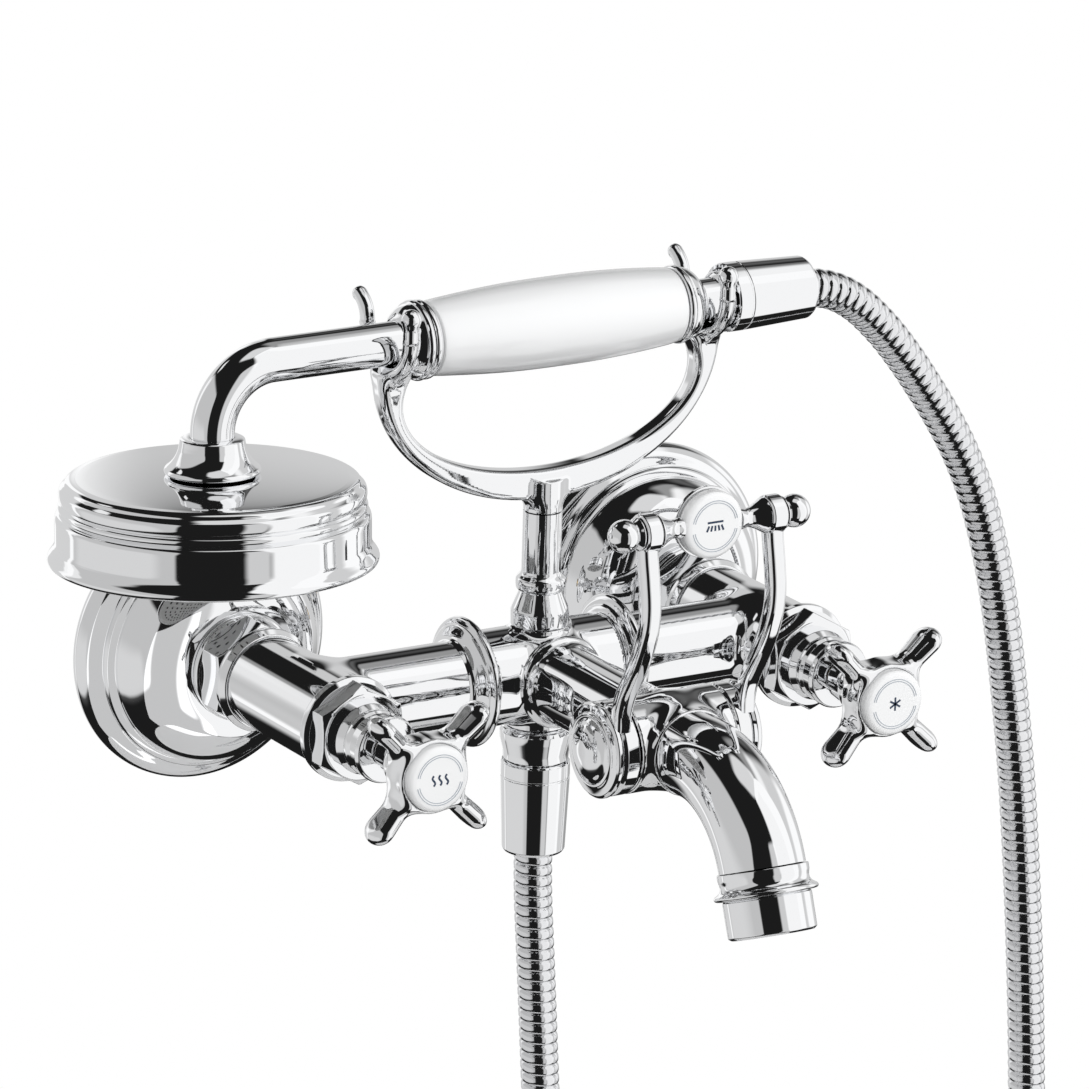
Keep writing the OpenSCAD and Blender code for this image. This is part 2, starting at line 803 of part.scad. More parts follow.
module lever_arms() {
    arm_w = 6;
    color("silver") for (sign = [0, 1]) mirror([sign, 0, 0]) difference() {
        union() {
            across(diverter_out, 0) lathe([[0, hub_in], [16.2, hub_in], [16.9, hub_in + 0.8],
                [16.9, hub_out - 1.2], [16.2, hub_out], [0, hub_out]]);
            translate([arm_x + arm_w / 2, 0, 0]) side_plane() linear_extrude(arm_w) arm_outline();
            across(lever_out, lever_up) rod(6.8, 22.4, 28.6);
        }
        across(diverter_out, 0) rod(shaft_r + 0.05, 10, 40);
        across(diverter_out, 0) rod(17.6, hub_out, 40);
        across(lever_out, lever_up) rod(2.6, 10, 40);
    }
}

// Cross bar with trumpet collars, cut away for the porcelain disc that its middle holds
module lever_crossbar() {
    color("silver") difference() {
        union() {
            across(lever_out, lever_up) for (sign = [0, 1]) mirror([0, 0, sign])
                lathe([[0, -1], [3.6, -1], [3.6, 13], [3.2, 14.2], [3.4, 16], [5, 19], [6.2, 21.4], [6.4, 22.2],
                    [2.5, 22.2], [2.5, 31], [0, 31]]);
            translate([0, 0, lever_up]) on_middle()
                lathe([[0, 185.6], [4, 186], [7.4, 187.6], [9.6, 189.8], [10.7, 192.2], [12.6, 193.4],
                    [12.8, 194.4], [12.4, disc_back], [0, disc_back]]);
        }
        translate([0, 0, lever_up]) on_middle() rod(disc_r + 0.3, disc_back, 205);
    }
}

module lever_balls() {
    color("silver") across(lever_out, lever_up) for (sign = [0, 1]) mirror([0, 0, sign]) difference() {
        union() {
            lathe([[0, 28.8], [5.6, 28.8], [5.9, 29.6], [5.2, 30.6], [0, 30.6]]);
            translate([0, 0, 34.6]) sphere(5.9);
        }
        rod(2.6, 20, 32);
    }
}

module index_disc_shower() {
    color("white") translate([0, 0, lever_up]) on_middle() index_disc_outline(disc_r, disc_back + 0.1);
}

module diverter_caps() {
    end = 28.2;
    color("silver") across(diverter_out, 0) for (sign = [0, 1]) mirror([0, 0, sign]) difference() {
        lathe([[0, cap_in], [16.4, cap_in], [17.2, cap_in + 0.8], [17.2, cap_in + 2.2], [16.4, cap_in + 3],
            [13.6, cap_in + 3.4], [12.8, cap_in + 4], [11.4, cap_in + 4.2], [8.6, cap_in + 6],
            [4.6, cap_in + 7.2], [0, cap_in + 7.6]]);
        rod(shaft_r + 0.1, 10, end);
    }
}

// ---- assembly ----

escutcheon(-1);  // wall_escutcheon_hot
escutcheon(1);  // wall_escutcheon_cold
inlet_unions();
union_washers();
union_nut(-1);  // union_nut_hot
union_nut(1);  // union_nut_cold
mixer_body();
cartridge_sleeves();
fixed_ceramic_discs();
bonnet(-1);  // bonnet_hot
bonnet(1);  // bonnet_cold
gland_nuts();
spindle(-1);  // spindle_hot
spindle(1);  // spindle_cold
turning_disc(-1);  // turning_disc_hot
turning_disc(1);  // turning_disc_cold
cross_handle(-1);  // cross_handle_hot
cross_handle(1);  // cross_handle_cold
handle_screw(-1);  // handle_screw_hot
handle_screw(1);  // handle_screw_cold
index_disc(-1);  // index_disc_hot
index_disc(1);  // index_disc_cold
cradle_pillar();
cradle();
shower_outlet();
check_valve_body();
check_poppet();
check_spring();
hose_washer_lower();
hose_tail_lower();
hose_nut_lower();
hose();
hose_nut_upper();
hose_tail_upper();
hose_washer_upper();
handset_pipe();
head_collar();
head_shell();
spray_plate();
spray_nozzles();
ferrule_left();
handset_grip();
ferrule_right();
handset_core();
handset_tail();
spout_shank();
spout_tube();
spout_ring();
aerator_housing();
aerator_insert();
diverter_shaft();
diverter_bushes();
shaft_seals();
diverter_rod();
diverter_washer();
lever_arms();
lever_crossbar();
lever_balls();
index_disc_shower();
diverter_caps();
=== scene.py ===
"""Looks of the wall mounted bath faucet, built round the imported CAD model. Lengths in the helpers are millimetres."""

import json
import math

import bmesh
import bpy
import numpy as np
from mathutils import Matrix, Vector


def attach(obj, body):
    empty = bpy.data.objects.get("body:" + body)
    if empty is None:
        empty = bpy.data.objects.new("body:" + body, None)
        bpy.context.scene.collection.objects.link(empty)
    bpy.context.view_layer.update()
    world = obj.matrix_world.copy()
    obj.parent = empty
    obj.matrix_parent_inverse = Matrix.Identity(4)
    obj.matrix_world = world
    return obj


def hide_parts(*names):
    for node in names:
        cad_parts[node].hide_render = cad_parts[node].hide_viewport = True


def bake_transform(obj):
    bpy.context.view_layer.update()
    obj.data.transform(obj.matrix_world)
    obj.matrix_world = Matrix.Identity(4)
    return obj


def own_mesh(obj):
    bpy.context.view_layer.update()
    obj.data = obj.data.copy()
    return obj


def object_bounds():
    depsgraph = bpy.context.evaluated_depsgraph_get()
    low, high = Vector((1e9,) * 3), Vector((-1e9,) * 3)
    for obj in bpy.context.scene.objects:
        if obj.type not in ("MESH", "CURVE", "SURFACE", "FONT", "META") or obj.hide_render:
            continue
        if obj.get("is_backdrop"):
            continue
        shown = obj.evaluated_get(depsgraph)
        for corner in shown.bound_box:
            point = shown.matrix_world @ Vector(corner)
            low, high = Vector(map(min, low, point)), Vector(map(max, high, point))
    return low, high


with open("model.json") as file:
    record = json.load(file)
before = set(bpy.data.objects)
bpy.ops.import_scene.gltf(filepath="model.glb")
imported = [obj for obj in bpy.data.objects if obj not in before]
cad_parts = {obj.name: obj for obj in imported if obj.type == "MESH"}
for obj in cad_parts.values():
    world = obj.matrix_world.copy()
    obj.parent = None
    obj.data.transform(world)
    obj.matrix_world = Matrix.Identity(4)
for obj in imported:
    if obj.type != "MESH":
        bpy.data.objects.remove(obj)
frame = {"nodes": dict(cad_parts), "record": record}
cad_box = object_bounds()
MM = 0.001

# ---- dimensions shared with the CAD source, in millimetres ----
HALF = 94.0
BAR_OUT = 86.7
BARREL_OUT = 173.0
HAND_UP = 129.8
HEAD_X = 136.5
PIPE_R = 7.8
FORK_X = 65.5
LEVER_OUT = 196.8
LEVER_UP = 85.6

# ---- castings: the grid of the small ones, and a distance that switches a shape off ----
FINE_STEP = 0.55
FAR = 100


# ---- places: local +Z is each lathe's axis ----
def turn(axis, degrees):
    return Matrix.Rotation(math.radians(degrees), 4, axis)


def shift(x, y, z):
    return Matrix.Translation((x, y, z))


def on_valve(side):
    return shift(side * HALF, 0, 0) @ turn("X", 90)


ON_MIDDLE = turn("X", 90)
ON_PILLAR = shift(0, -BAR_OUT, 0)


def across(out, up):
    return shift(0, -out, up) @ turn("Y", 90)


ON_HAND = across(BAR_OUT, HAND_UP)
LEAN = shift(0, -BAR_OUT, HAND_UP) @ turn("X", -3)
ON_HEAD = LEAN @ shift(-HEAD_X, 0, 0) @ turn("X", 180)
SPOUT_TURN = 69
SPOUT_BEND = 43.0
SPOUT_BEND_OUT = 198
SPOUT_END_OUT = SPOUT_BEND_OUT + SPOUT_BEND * math.sin(math.radians(SPOUT_TURN))
SPOUT_END_UP = -SPOUT_BEND * (1 - math.cos(math.radians(SPOUT_TURN)))
ON_SPOUT_END = shift(0, -SPOUT_END_OUT, SPOUT_END_UP) @ turn("X", 90 + SPOUT_TURN)
MIRROR_X = Matrix.Scale(-1, 4, (1, 0, 0))


# ---- materials ----
def material(name, color, metallic=0.0, roughness=0.2, coat=0.0, spread=0.02, grain=30.0, bump=0.0):
    """A plain surface whose roughness varies by spread in grains, grain of them to the metre or so."""
    m = bpy.data.materials.new(name)
    m.use_nodes = True
    nodes, links = m.node_tree.nodes, m.node_tree.links
    bsdf = next(n for n in nodes if n.type == "BSDF_PRINCIPLED")
    bsdf.inputs["Base Color"].default_value = (*color, 1)
    bsdf.inputs["Metallic"].default_value = metallic
    bsdf.inputs["IOR"].default_value = 1.5
    bsdf.inputs["Coat Weight"].default_value = coat
    bsdf.inputs["Coat Roughness"].default_value = 0.03
    place = nodes.new("ShaderNodeTexCoord")
    noise = nodes.new("ShaderNodeTexNoise")
    noise.inputs["Scale"].default_value = grain
    noise.inputs["Detail"].default_value = 3
    links.new(place.outputs["Object"], noise.inputs["Vector"])
    ramp = nodes.new("ShaderNodeMapRange")
    ramp.inputs["To Min"].default_value = max(0.0, roughness - spread)
    ramp.inputs["To Max"].default_value = roughness + spread
    links.new(noise.outputs["Fac"], ramp.inputs["Value"])
    links.new(ramp.outputs["Result"], bsdf.inputs["Roughness"])
    if bump:
        fine = nodes.new("ShaderNodeBump")
        fine.inputs["Strength"].default_value = bump
        fine.inputs["Distance"].default_value = 0.0002
        links.new(noise.outputs["Fac"], fine.inputs["Height"])
        links.new(fine.outputs["Normal"], bsdf.inputs["Normal"])
    return m


CHROME = material("chrome", (0.93, 0.935, 0.945), metallic=1, roughness=0.035, spread=0.015, grain=60)
HOSE = material("hose_metal", (0.82, 0.825, 0.84), metallic=1, roughness=0.11, spread=0.03, grain=400)
PORCELAIN = material("porcelain", (0.87, 0.875, 0.88), roughness=0.14, coat=0.6, spread=0.03, grain=40)
BRASS = material("brass", (0.72, 0.53, 0.26), metallic=1, roughness=0.3, spread=0.08, grain=300, bump=0.2)
RUBBER = material("rubber", (0.03, 0.03, 0.032), roughness=0.65, spread=0.1, grain=500, bump=0.4)
STEEL = material("steel", (0.5, 0.5, 0.52), metallic=1, roughness=0.3, spread=0.06, grain=400)
PLASTIC = material("plastic", (0.72, 0.72, 0.71), roughness=0.4, spread=0.06, grain=250, bump=0.15)
INK = material("enamel_navy", (0.018, 0.035, 0.075), roughness=0.25, spread=0.04, grain=300)
LINE = material("enamel_grey", (0.36, 0.4, 0.45), roughness=0.3, spread=0.04, grain=300)

by_slot = {"chrome": CHROME, "porcelain": PORCELAIN, "brass": BRASS, "rubber": RUBBER, "ceramic_disc": PORCELAIN,
           "steel": STEEL, "plastic": PLASTIC, "hose_metal": HOSE}
for row in frame["record"]["subparts"]:
    node = frame["nodes"][row["node"]]
    node.data.materials.clear()
    node.data.materials.append(by_slot[row["material_slot"]])


# ---- meshes ----
def piece(name, verts, faces, body, look, replaces=(), place=None, normals=None, sharp=40):
    """A mesh piece from points in millimetres, carried to its place, with smooth shading."""
    mesh = bpy.data.meshes.new(name)
    mesh.from_pydata([tuple(v) for v in verts], [], [tuple(f) for f in faces])
    matrix = (Matrix.Scale(MM, 4) @ (place or Matrix.Identity(4)))
    mesh.transform(matrix)
    if matrix.determinant() < 0:
        mesh.flip_normals()
    mesh.polygons.foreach_set("use_smooth", [True] * len(mesh.polygons))
    obj = bpy.data.objects.new(name, mesh)
    bpy.context.scene.collection.objects.link(obj)
    mesh.materials.append(look)
    if normals is None:
        edit = bmesh.new()
        edit.from_mesh(mesh)
        bmesh.ops.remove_doubles(edit, verts=edit.verts, dist=1e-7)
        bmesh.ops.recalc_face_normals(edit, faces=edit.faces)
        for edge in edit.edges:
            if len(edge.link_faces) == 2 and edge.calc_face_angle(0) > math.radians(sharp):
                edge.smooth = False
        edit.to_mesh(mesh)
        edit.free()
        modifier = obj.modifiers.new("even", "WEIGHTED_NORMAL")
        modifier.keep_sharp = True
        modifier.weight = 60
    else:
        mesh.validate()
        mesh.normals_split_custom_set_from_vertices([tuple(n) for n in normals])
    if body:
        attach(obj, body)
    if replaces:
        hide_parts(*replaces)
    return obj


def soft(points, n):
    """A smooth line through the points, with n steps from each to the next."""
    p = np.array(points, float)
    p = np.vstack([2 * p[0] - p[1], p, 2 * p[-1] - p[-2]])
    t = np.linspace(0, 1, n, endpoint=False)[:, None]
    out = []
    for a, b, c, d in zip(p[:-3], p[1:-2], p[2:-1], p[3:]):
        out += list(0.5 * (2 * b + (c - a) * t + (2 * a - 5 * b + 4 * c - d) * t**2 + (3 * b - a - 3 * c + d) * t**3))
    return [tuple(v) for v in out] + [tuple(p[-2])]


def arc(cx, cz, r, start, end, n):
    """n points on an arc, from one angle to another in degrees."""
    steps = np.radians(np.linspace(start, end, n))
    return [(cx + r * math.cos(t), cz + r * math.sin(t)) for t in steps]


def rounded(points, default):
    """The outline with its corners rounded: a point is (r, z) or (r, z, radius)."""
    out = []
    last = len(points) - 1
    for i, item in enumerate(points):
        here = np.array(item[:2], float)
        radius = item[2] if len(item) > 2 else default
        if i in (0, last) or radius <= 0 or here[0] == 0:
            out.append(tuple(here))
            continue
        a = np.array(points[i - 1][:2], float) - here
        b = np.array(points[i + 1][:2], float) - here
        la, lb = np.linalg.norm(a), np.linalg.norm(b)
        cosine = float(np.clip(a @ b / (la * lb), -1, 1))
        half = math.acos(cosine) / 2
        if half > math.radians(84):
            out.append(tuple(here))
            continue
        reach = min(radius / math.tan(half), 0.48 * la, 0.48 * lb)
        start, end = here + a / la * reach, here + b / lb * reach
        for t in np.linspace(0, 1, 5):
            out.append(tuple((1 - t) ** 2 * start + 2 * t * (1 - t) * here + t**2 * end))
    return out


def lathe(name, outline, place, body, replaces=(), look=CHROME, segments=96):
    """A turned piece. The outline runs from the axis, or from the bore, round to the bore's other end."""
    outline = [(max(0.0, r), z) for r, z in outline]
    verts, rings = [], []
    angles = [2 * math.pi * k / segments for k in range(segments)]
    for r, z in outline:
        if r < 1e-6:
            rings.append([len(verts)])
            verts.append((0, 0, z))
        else:
            rings.append(list(range(len(verts), len(verts) + segments)))
            verts += [(r * math.cos(t), r * math.sin(t), z) for t in angles]
    faces = []
    pairs = list(zip(rings[:-1], rings[1:]))
    if len(rings[0]) > 1 and len(rings[-1]) > 1:
        pairs.append((rings[-1], rings[0]))
    for a, b in pairs:
        for k in range(segments):
            j = (k + 1) % segments
            if len(a) == 1 and len(b) == 1:
                break
            if len(a) == 1:
                faces.append((a[0], b[j], b[k]))
            elif len(b) == 1:
                faces.append((a[k], a[j], b[0]))
            else:
                faces.append((a[k], a[j], b[j], b[k]))
    return piece(name, verts, faces, body, look, replaces, place)


def sweep(name, path, section, body, replaces=(), look=CHROME, up=(0, 1, 0), place=None, sharp=40):
    """A section carried along a path. section(i, share) gives its points, across and along up, at each path point."""
    p = np.array(path, float)
    tangents = np.gradient(p, axis=0)
    tangents /= np.linalg.norm(tangents, axis=1)[:, None]
    u = np.array(up, float)
    verts, size = [], 0
    for i, (point, t) in enumerate(zip(p, tangents)):
        u = u - (u @ t) * t
        u /= np.linalg.norm(u)
        side = np.cross(t, u)
        shape = section(i, i / (len(p) - 1))
        size = len(shape)
        verts += [tuple(point + side * a + u * b) for a, b in shape]
    faces = []
    for i in range(len(p) - 1):
        for k in range(size):
            j = (k + 1) % size
            faces.append((i * size + k, i * size + j, (i + 1) * size + j, (i + 1) * size + k))
    faces.append(tuple(range(size))[::-1])
    faces.append(tuple(range((len(p) - 1) * size, len(p) * size)))
    return piece(name, verts, faces, body, look, replaces, place, sharp=sharp)


def circle(r, n):
    return [(r * math.cos(2 * math.pi * k / n), r * math.sin(2 * math.pi * k / n)) for k in range(n)]


# ---- cast shapes, as distance fields ----
def smin(a, b, k):
    """The union of two fields with a fillet of about k."""
    h = np.clip(0.5 + 0.5 * (b - a) / k, 0, 1)
    return b * (1 - h) + a * h - k * h * (1 - h)


def smax(a, b, k):
    return -smin(-a, -b, k)


def rod_field(u, v, w, r, low, high, edge=0.6):
    """A round bar along w with rounded edges."""
    a = np.hypot(u, v) - r + edge
    b = np.abs(w - (low + high) / 2) - (high - low) / 2 + edge
    return np.minimum(np.maximum(a, b), 0) + np.hypot(np.maximum(a, 0), np.maximum(b, 0)) - edge


def cast(name, field, low, high, step, body, replaces, place=None):
    """The surface where field(x, y, z) is zero, as quads pulled exactly onto it, with the field's own normals."""
    axes = [np.arange(a - step, b + 2 * step, step) for a, b in zip(low, high)]
    x, y, z = np.meshgrid(*axes, indexing="ij")
    g = field(x, y, z)
    inside = g < 0
    n = g.shape
    cells_shape = (n[0] - 1, n[1] - 1, n[2] - 1)
    total, count = np.zeros((*cells_shape, 3)), np.zeros(cells_shape)
    quads = []
    for axis in range(3):
        lo_cut = tuple(slice(0, -1) if k == axis else slice(None) for k in range(3))
        hi_cut = tuple(slice(1, None) if k == axis else slice(None) for k in range(3))
        ga, gb = g[lo_cut], g[hi_cut]
        cross = inside[lo_cut] != inside[hi_cut]
        idx = np.argwhere(cross)
        if not len(idx):
            continue
        t = ga[cross] / (ga[cross] - gb[cross])
        point = idx.astype(float)
        point[:, axis] += t
        others = [k for k in range(3) if k != axis]
        for da in (0, 1):
            for db in (0, 1):
                cell = idx.copy()
                cell[:, others[0]] -= da
                cell[:, others[1]] -= db
                ok = np.all(cell >= 0, axis=1) & np.all(cell < np.array(count.shape), axis=1)
                c = cell[ok]
                np.add.at(total, (c[:, 0], c[:, 1], c[:, 2]), point[ok])
                np.add.at(count, (c[:, 0], c[:, 1], c[:, 2]), 1)
        ring = []
        for da, db in ((1, 1), (0, 1), (0, 0), (1, 0)):
            cell = idx.copy()
            cell[:, others[0]] -= da
            cell[:, others[1]] -= db
            ring.append(cell)
        flip = inside[lo_cut][cross] ^ (axis == 1)
        quads.append((np.stack(ring, axis=1), flip))
    active = count > 0
    number = -np.ones(count.shape, int)
    number[active] = np.arange(active.sum())
    origin = np.array([a[0] for a in axes])
    points = total[active] / count[active][:, None] * step + origin
    faces = []
    for cells, flip in quads:
        ids = number[cells[..., 0], cells[..., 1], cells[..., 2]]
        ids[~flip] = ids[~flip][:, ::-1]
        faces.append(ids)
    faces = np.vstack(faces)
    h = 0.02

    def slope(p):
        return np.stack([(field(*(p + h * e).T) - field(*(p - h * e).T)) / (2 * h) for e in np.eye(3)], axis=1)

    for _ in range(4):
        d = slope(points)
        f = field(*points.T)
        move = f[:, None] * d / np.maximum((d**2).sum(1), 0.2)[:, None]
        points = points - np.clip(move, -step, step)
    d = slope(points)
    normals = d / np.maximum(np.linalg.norm(d, axis=1), 1e-9)[:, None]
    matrix = place or Matrix.Identity(4)
    turned = normals @ np.array(matrix.to_3x3()).T
    return piece(name, points, faces.tolist(), body, CHROME, replaces, place, normals=turned)


# ---- the hose ----
ROUTE = [
    (107.5, 129.8), (120, 126.8), (131, 120.6), (142, 110.5), (151.5, 99.5),
    (160.5, 87.5), (169.5, 74.5), (178, 60.5), (185.5, 45), (191.5, 28.5),
    (197, 9), (201.5, -12), (206, -38), (210.5, -68), (214.5, -102),
    (218, -138), (221, -176), (223.5, -220), (225, -265), (224.5, -310),
    (221, -355), (214, -400), (202, -442), (184, -478), (160, -504),
    (131, -518), (101, -517), (74, -502), (53, -476), (38, -441),
    (27, -400), (19, -355), (14, -308), (11, -260), (9, -215),
    (7, -175), (4.6, -140), (2.4, -110), (0.6, -86), (0, -68),
]


def hose():
    """A strip-wound metal hose: each turn is a rounded band with a narrow groove to the next."""
    pitch, outer, groove, sides, per_turn = 4.1, 7.05, 1.15, 30, 12
    fine = np.array([(x, -BAR_OUT, z) for x, z in soft(ROUTE, 24)])
    along = np.concatenate([[0], np.cumsum(np.linalg.norm(np.diff(fine, axis=0), axis=1))])
    steps = np.arange(0, along[-1], pitch / per_turn)
    line = np.stack([np.interp(steps, along, fine[:, k]) for k in range(3)], axis=1)
    line = np.vstack([line, fine[-1]])
    steps = np.append(steps, along[-1])

    def section(i, share):
        out = []
        for k in range(sides):
            t = 2 * math.pi * k / sides
            rise = abs(2 * ((steps[i] / pitch - k / sides) % 1) - 1)
            r = outer - groove * (1 - math.sqrt(1 - 0.98 * rise**2.4))
            out.append((r * math.cos(t), r * math.sin(t)))
        return out

    made = sweep("shower_hose", line, section, None, ("hose",), HOSE, up=(0, 1, 0), sharp=60)
    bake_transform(made)
    for m in list(made.modifiers):
        made.modifiers.remove(m)


hose()


# ---- wall fittings and valves ----
def escutcheon(side, name):
    """The bell against the wall: a rolled rim, a ridge and a dome, hollow behind."""
    rim = soft([(47.0, 0), (49.0, 0.9), (50.2, 3.2), (50.4, 5.8), (49.5, 8.6), (47.6, 10.8), (45.2, 12.0),
                (43.9, 12.6)], 6)
    ridge = soft([(43.6, 12.9), (43.7, 14.2), (43.2, 15.4), (42.1, 16.2), (40.9, 16.7)], 5)
    dome = soft([(40.5, 17.1), (40.1, 19.2), (38.9, 23), (36.9, 26.6), (34.2, 29.8), (30.9, 32.5), (27.2, 34.4),
                 (23.6, 35.5), (20.3, 36)], 8)
    inside = soft([(15.4, 36), (15.4, 34.4), (21, 34.2), (29, 31.4), (35.4, 26), (38.3, 19.4), (39.4, 15.6), (42, 11.5),
                   (46.6, 7.5), (46.8, 0)], 5)
    return lathe(name, rim + ridge + dome + inside, on_valve(side), "body", (name,), segments=160)


def hex_nut(name, place, r_corner, low, high, bore, chamfer_r, back_chamfer):
    """A hexagonal nut: six flats, cut by a cone of 30 degrees at each face that is chamfered."""
    flat = r_corner * math.cos(math.radians(30))

    def field(x, y, z):
        angle = np.mod(np.arctan2(y, x) + math.pi / 6, math.pi / 3) - math.pi / 6
        r = np.hypot(x, y)
        sides = r * np.cos(angle) - flat
        body_field = smax(sides, np.abs(z - (low + high) / 2) - (high - low) / 2, 0.5)
        cone = (r - chamfer_r) * 0.5 + (z - high) * 0.866
        body_field = smax(body_field, cone, 0.45)
        if back_chamfer:
            body_field = smax(body_field, (r - chamfer_r) * 0.5 - (z - low) * 0.866, 0.45)
        return smax(body_field, bore - r, 0.3)

    cast(name, field, (-r_corner, -r_corner, low), (r_corner, r_corner, high), FINE_STEP, "body", (name,), place)


def union_nut(side, name):
    """The nut that draws the valve to the wall: a hexagon between two collars."""
    place = on_valve(side)
    back = rounded([(15, 36.3, 0.2), (19.7, 36.3, 0.8), (19.7, 38.6, 0.8), (18.8, 39.4, 0.2), (15, 39.4, 0)], 0.3)
    lathe(name + "_back", back, place, "body")
    hex_nut(name, place, 20.6, 38.8, 51.8, 15, 18.5, True)
    front = rounded([(13.3, 51.4, 0), (18.6, 51.4, 0.2), (19.2, 52.4, 0.7), (19.2, 54.2, 0.9), (17.5, 56.4, 0.8),
                     (13.3, 56.4, 0.4)], 0.4)
    lathe(name + "_front", front, place, "body")


def bonnet(side, name):
    """The valve's head: a flange, a hexagon chamfered in front, and a turned neck."""
    place = on_valve(side)
    flange = rounded([(12.5, 112, 0), (18.8, 112, 0.3), (19.2, 112.8, 0.5), (19.2, 115, 0.7), (17.4, 116.2, 0.3),
                      (12.5, 116.2, 0)], 0.3)
    lathe(name + "_flange", flange, place, "body", segments=128)
    hex_nut(name, place, 18.6, 115.6, 124, 10, 15.6, False)
    neck = [(6, 123.6)] + rounded([(13, 123.6, 0), (13, 127.2, 0.9), (12.2, 128.6, 0.6), (11.4, 129.8, 0.6),
                                   (12.1, 131, 0.6), (12.1, 132.4, 0.7), (11.2, 133.6, 0.6), (11.2, 137.7, 0),
                                   (6, 137.7)], 0.4)
    lathe(name + "_neck", neck, place, "body")


def gland(side, name):
    """The small nut round the spindle, behind the handle's sleeve."""
    outline = rounded([(5.3, 137.9), (11.6, 137.9, 0.5), (12.5, 139.2, 0.8), (11.8, 141.0, 0.9), (9, 141.2, 0.4),
                       (5.3, 141.2)], 0.3)
    lathe(name, outline, on_valve(side), "body", ("gland_nuts",))


def cross_handle(side, name, body):
    """Hub and four paddle arms in one casting, each arm with a flat ground on one flank."""
    arm_up, root, reach, tip = 166.4, 8, 22, 6.4
    flank = 3.3

    def field(x, y, z):
        hub = rod_field(x, y, z, 13.6, 162.6, 173.4, 1.2)
        waist = rod_field(x, y, z, 9.6, 152, 168, 3)
        out = smin(hub, waist, 6)
        for k in range(4):
            a = math.radians(45 + 90 * k)
            u, v = x * math.cos(a) + y * math.sin(a), -x * math.sin(a) + y * math.cos(a)
            share = np.clip((u - root) / reach, 0, 1)
            half_w, half_d = flank + 0.9 * share, 4.9 + 2.7 * share
            ends = np.maximum(u - 25, 0) / tip + np.maximum(-u, 0) / 6
            arm = (np.sqrt((v / half_w) ** 2 + ((z - arm_up - 1.6 * share) / half_d) ** 2 + ends**2) - 1) * 3.6
            arm = smax(arm, -(v + flank), 0.4)
            out = smin(out, arm, 5.5)
        sleeve = rod_field(x, y, z, 6.1, 141.8, 156, 0.4)
        out = smin(out, sleeve, 3)
        seat = smax(np.hypot(x, y) - 12.25, 171.4 - z, 0.3)
        return smax(out, -seat, 0.4)

    cast(name, field, (-26, -26, 141.6), (26, 26, 175.5), FINE_STEP, body, (name,), on_valve(side))


def stroke(points, width, lift, place, name, body, look):
    """A thin raised line of enamel, laid along points on a disc's face."""
    low, high, half = lift - 0.3, lift + 0.05, width / 2
    section = [(-half, low), (half, low), (half, high), (-half, high)]
    path = [(x, y, 0) for x, y in points]
    sweep(name, path, lambda i, s: section, body, (), look, up=(0, 0, 1), place=place)


def index_disc(name, place, body, face, mark):
    """A glazed disc with two pairs of thin arcs and a plain sign in its middle."""
    back = face - 5.5
    r = 12.1
    edge = soft([(r - 0.6, back + 0.1), (r, back + 1), (r, back + 3.4), (r - 0.35, back + 4.4), (r - 1.2, back + 5.05),
                 (r - 2.4, back + 5.35), (r - 3.4, back + 5.42)], 6)
    outline = [(0, back), (r - 1.0, back)] + edge + [(0, face)]
    lathe(name, outline, place, body, (name,), PORCELAIN, segments=128)
    lift = face - 0.01
    for r_arc in (8.35, 9.15):
        for start in (12, 192):
            angles = np.radians(np.linspace(start, start + 156, 48))
            stroke([(r_arc * math.cos(t), r_arc * math.sin(t)) for t in angles], 0.22, lift, place,
                   f"{name}_arc_{start}_{int(r_arc * 10)}", body, LINE)
    for k, line in enumerate(mark):
        stroke(line, 0.75, lift, place, f"{name}_sign_{k}", body, INK)


def heat_sign():
    """Three rising waves."""
    swing, foot, height = 0.55, -1.9, 3.8
    shares = np.linspace(0, 1, 14)
    return [[(x + swing * math.sin(t * 2 * math.pi), foot + height * t) for t in shares] for x in (-2.6, 0, 2.6)]


def frost_sign():
    """A six-armed star."""
    return [[(2.5 * s * math.cos(a), 2.5 * s * math.sin(a)) for s in (-1, 0, 1)] for a in np.radians([30, 90, 150])]


def spray_sign():
    """A bar with five drops falling from it."""
    bar = [[(-3.2, 1.5), (0, 1.5), (3.2, 1.5)]]
    drops = [[(1.25 * k, 0.3), (1.45 * k, -0.6), (1.7 * k, -1.7)] for k in (-2, -1, 0, 1, 2)]
    return bar + drops


bells = {}
for side, word, sign in ((-1, "hot", heat_sign()), (1, "cold", frost_sign())):
    bells[word] = escutcheon(side, "wall_escutcheon_" + word)
    union_nut(side, "union_nut_" + word)
    bonnet(side, "bonnet_" + word)
    cross_handle(side, "cross_handle_" + word, word + "_handle")
    index_disc("index_disc_" + word, on_valve(side), word + "_handle", 177, sign)
gland(-1, "gland_nut_hot")
gland(1, "gland_nut_cold")


